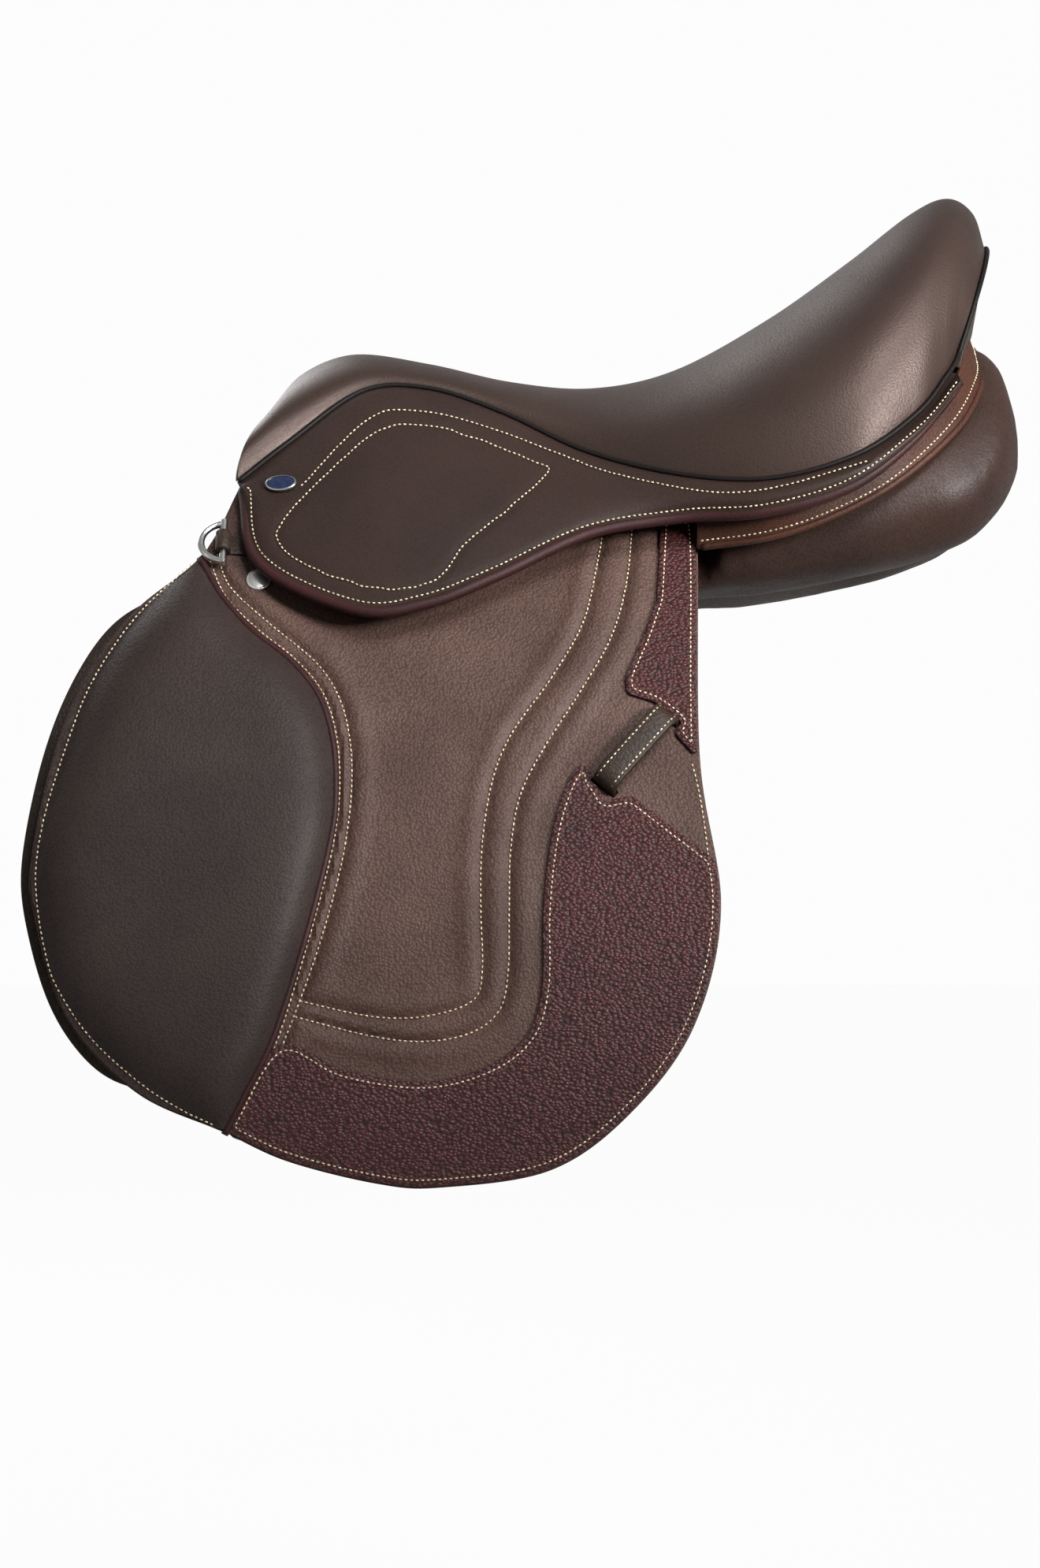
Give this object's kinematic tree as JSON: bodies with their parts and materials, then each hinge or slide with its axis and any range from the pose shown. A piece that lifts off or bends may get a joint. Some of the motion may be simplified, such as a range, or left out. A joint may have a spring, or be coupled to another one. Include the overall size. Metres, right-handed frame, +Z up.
{
  "type": "jumping saddle",
  "caption": "English jumping saddle with a deep padded seat, lifting skirts and flaps, padded panels, girth straps, stirrup bars with safety catches and front rings.",
  "frame": {"origin": "on the centre plane, on the ridge of the rack that the saddle hangs on, under the middle of the seat", "axes": "+X towards the cantle, -Y towards the left side of the horse, +Z up"},
  "size_m": [0.5285, 0.4608, 0.5293],
  "materials": {
    "laminate": "bare laminate",
    "steel": "brushed",
    "bright_steel": "polished",
    "badge_enamel": "glossy enamel",
    "webbing": "woven",
    "foam": "open foam",
    "seat_leather": "smooth, satin",
    "welt_leather": "satin",
    "flap_leather": "fine grain, satin",
    "pad_leather": "fine grain, satin",
    "grained_leather": "heavy grain, satin",
    "band_leather": "smooth, satin",
    "strap_leather": "smooth, satin"
  },
  "bodies": {
    "saddle": {"tree_frame": "laminate", "gullet_plate": "steel", "tree_points": "laminate", "spring_rails": "steel", "tree_rivets": "steel", "seat_webbing": "webbing", "girth_webs": "webbing", "seat_foam": "foam", "seat_cover": "seat_leather", "seat_welt": "welt_leather", "cantle_back": "seat_leather", "skirt_top_left": "seat_leather", "skirt_top_right": "seat_leather", "flap_top_left": "flap_leather", "flap_top_right": "flap_leather", "rear_patch_top_left": "grained_leather", "rear_patch_top_right": "grained_leather", "sweat_flap_left": "strap_leather", "sweat_flap_right": "strap_leather", "knee_block_left": "pad_leather", "knee_block_right": "pad_leather", "panel_left": "pad_leather", "panel_right": "pad_leather", "rear_band_left": "band_leather", "rear_band_right": "band_leather", "stirrup_bar_left": "steel", "stirrup_bar_right": "steel", "catch_pins": "steel", "bar_rivets": "steel", "buckle_guard_left": "strap_leather", "buckle_guard_right": "strap_leather", "ring_tab_left": "strap_leather", "ring_tab_right": "strap_leather", "pommel_studs": "bright_steel", "skirt_badges": "badge_enamel"},
    "flap_left": {"flap_left": "flap_leather", "knee_pad_left": "pad_leather", "grip_patch_left": "grained_leather", "rear_patch_left": "grained_leather", "leather_keeper_left": "strap_leather"},
    "skirt_left": {"skirt_left": "seat_leather"},
    "catch_left": {"bar_catch_left": "steel"},
    "ring_left": {"front_ring_left": "bright_steel"},
    "front_billet_left": {"front_billet_left": "strap_leather"},
    "middle_billet_left": {"middle_billet_left": "strap_leather"},
    "rear_billet_left": {"rear_billet_left": "strap_leather"},
    "flap_right": {"flap_right": "flap_leather", "knee_pad_right": "pad_leather", "grip_patch_right": "grained_leather", "rear_patch_right": "grained_leather", "leather_keeper_right": "strap_leather"},
    "skirt_right": {"skirt_right": "seat_leather"},
    "catch_right": {"bar_catch_right": "steel"},
    "ring_right": {"front_ring_right": "bright_steel"},
    "front_billet_right": {"front_billet_right": "strap_leather"},
    "middle_billet_right": {"middle_billet_right": "strap_leather"},
    "rear_billet_right": {"rear_billet_right": "strap_leather"}
  },
  "joints": [
    {"name": "flap_lift_left", "type": "hinge", "parent": "saddle", "child": "flap_left", "pos_m": [-0.1, -0.14613, -0.08], "axis": [-1, 0, 0], "range_deg": [0, 80]},
    {"name": "skirt_lift_left", "type": "hinge", "parent": "saddle", "child": "skirt_left", "pos_m": [-0.07, -0.1329, -0.02], "axis": [-0.9997, 0.0242, 0], "range_deg": [0, 85]},
    {"name": "catch_flip_left", "type": "hinge", "parent": "saddle", "child": "catch_left", "pos_m": [-0.084, -0.12543, -0.046], "axis": [0, -0.8368, 0.5475], "range_deg": [0, 75]},
    {"name": "ring_swing_left", "type": "hinge", "parent": "saddle", "child": "ring_left", "pos_m": [-0.183, -0.12419, -0.036], "axis": [0, 0.5598, 0.8286], "range_deg": [0, 100]},
    {"name": "front_billet_swing_left", "type": "hinge", "parent": "saddle", "child": "front_billet_left", "pos_m": [-0.062, -0.1017, -0.036], "axis": [0, -0.8166, 0.5772], "range_deg": [-6, 3.5]},
    {"name": "middle_billet_swing_left", "type": "hinge", "parent": "saddle", "child": "middle_billet_left", "pos_m": [-0.016, -0.1017, -0.036], "axis": [0, -0.8166, 0.5772], "range_deg": [-3.5, 3.5]},
    {"name": "rear_billet_swing_left", "type": "hinge", "parent": "saddle", "child": "rear_billet_left", "pos_m": [0.03, -0.1017, -0.036], "axis": [0, -0.8166, 0.5772], "range_deg": [-3.5, 6]},
    {"name": "flap_lift_right", "type": "hinge", "parent": "saddle", "child": "flap_right", "pos_m": [-0.1, 0.14613, -0.08], "axis": [1, 0, 0], "range_deg": [0, 80]},
    {"name": "skirt_lift_right", "type": "hinge", "parent": "saddle", "child": "skirt_right", "pos_m": [-0.07, 0.1329, -0.02], "axis": [0.9997, 0.0242, 0], "range_deg": [0, 85]},
    {"name": "catch_flip_right", "type": "hinge", "parent": "saddle", "child": "catch_right", "pos_m": [-0.084, 0.12543, -0.046], "axis": [0, -0.8368, -0.5475], "range_deg": [0, 75]},
    {"name": "ring_swing_right", "type": "hinge", "parent": "saddle", "child": "ring_right", "pos_m": [-0.183, 0.12419, -0.036], "axis": [0, 0.5598, -0.8286], "range_deg": [0, 100]},
    {"name": "front_billet_swing_right", "type": "hinge", "parent": "saddle", "child": "front_billet_right", "pos_m": [-0.062, 0.1017, -0.036], "axis": [0, -0.8166, -0.5772], "range_deg": [-6, 3.5]},
    {"name": "middle_billet_swing_right", "type": "hinge", "parent": "saddle", "child": "middle_billet_right", "pos_m": [-0.016, 0.1017, -0.036], "axis": [0, -0.8166, -0.5772], "range_deg": [-3.5, 3.5]},
    {"name": "rear_billet_swing_right", "type": "hinge", "parent": "saddle", "child": "rear_billet_right", "pos_m": [0.03, 0.1017, -0.036], "axis": [0, -0.8166, -0.5772], "range_deg": [-3.5, 6]}
  ]
}
